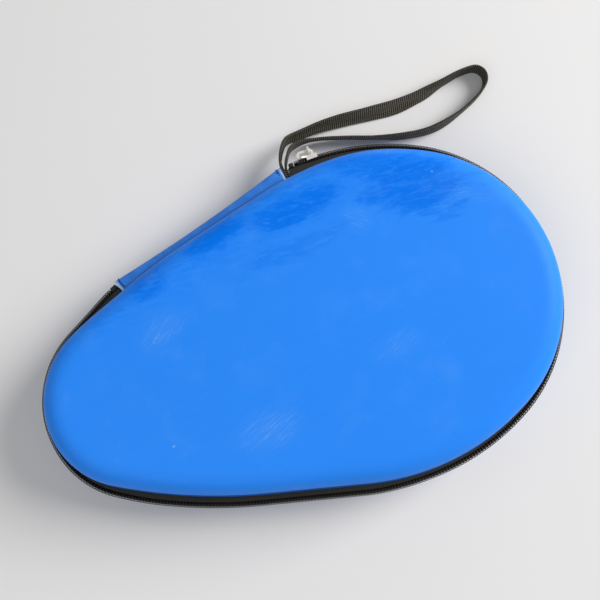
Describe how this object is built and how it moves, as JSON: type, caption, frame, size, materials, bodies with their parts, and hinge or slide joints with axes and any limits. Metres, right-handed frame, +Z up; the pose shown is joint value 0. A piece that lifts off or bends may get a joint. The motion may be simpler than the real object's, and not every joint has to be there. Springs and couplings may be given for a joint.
{
  "type": "table tennis paddle case",
  "caption": "Hard clamshell case for a table-tennis paddle: two moulded half-shells zipped round the edge, hinged by a sewn strip, with a slider, a pull and a webbing wrist strap.",
  "frame": {"origin": "middle of the closed case's footprint, on the surface that it lies on, without the wrist strap", "axes": "+X along the case from the handle end to the blade end, +Y towards the hinge side, +Z up through the lid"},
  "size_m": [0.3163, 0.2229, 0.0492],
  "materials": {
    "blue_skin": "fine-grained coated fabric, satin",
    "foam": "moulded closed-cell foam, matte",
    "lining": "knitted lining, matte",
    "binding_tape": "ribbed edging tape, matte",
    "zip_tape": "woven zip tape, matte",
    "zip_coil": "moulded coil, low sheen",
    "zip_stop": "moulded, low sheen",
    "webbing": "ribbed woven webbing, matte",
    "elastic": "ribbed woven elastic, matte",
    "nickel": "plated, lightly worn"
  },
  "bodies": {
    "base": {"lower_cover": "blue_skin", "lower_foam_shell": "foam", "lower_lining": "lining", "lower_rim_binding": "binding_tape", "lower_zip_tape": "zip_tape", "lower_zip_coil": "zip_coil", "lower_end_stop": "zip_stop", "zip_bottom_stop": "zip_stop", "hinge_strip": "blue_skin", "strap_anchor": "webbing", "wrist_strap": "webbing", "retaining_band": "elastic", "band_patch_hinge_side": "binding_tape", "band_patch_zip_side": "binding_tape"},
    "lid": {"upper_cover": "blue_skin", "upper_foam_shell": "foam", "upper_lining": "lining", "upper_rim_binding": "binding_tape", "upper_zip_tape": "zip_tape", "upper_zip_coil": "zip_coil", "upper_end_stop": "zip_stop"},
    "slider": {"slider_body": "nickel", "slider_crown": "nickel"},
    "pull": {"slider_pull": "nickel"}
  },
  "joints": [
    {"name": "lid_hinge", "type": "hinge", "parent": "base", "child": "lid", "pos_m": [-0.0474, 0.07424, 0.024], "axis": [-0.9613, -0.2756, 0], "range_deg": [0, 150], "deforming": ["hinge_strip", "upper_zip_tape", "upper_zip_coil", "upper_end_stop"]},
    {"name": "slider_travel", "type": "hinge", "parent": "base", "child": "slider", "pos_m": [0.03908, -0.0436, 0.024], "axis": [0, 0, -1], "range_deg": [0, 26], "deforming": ["lower_zip_coil", "lower_zip_tape"]},
    {"name": "pull_swing", "type": "hinge", "parent": "slider", "child": "pull", "pos_m": [0.03994, 0.09831, 0.024], "axis": [0.9999, 0.0128, 0], "range_deg": [-6, 180]}
  ]
}
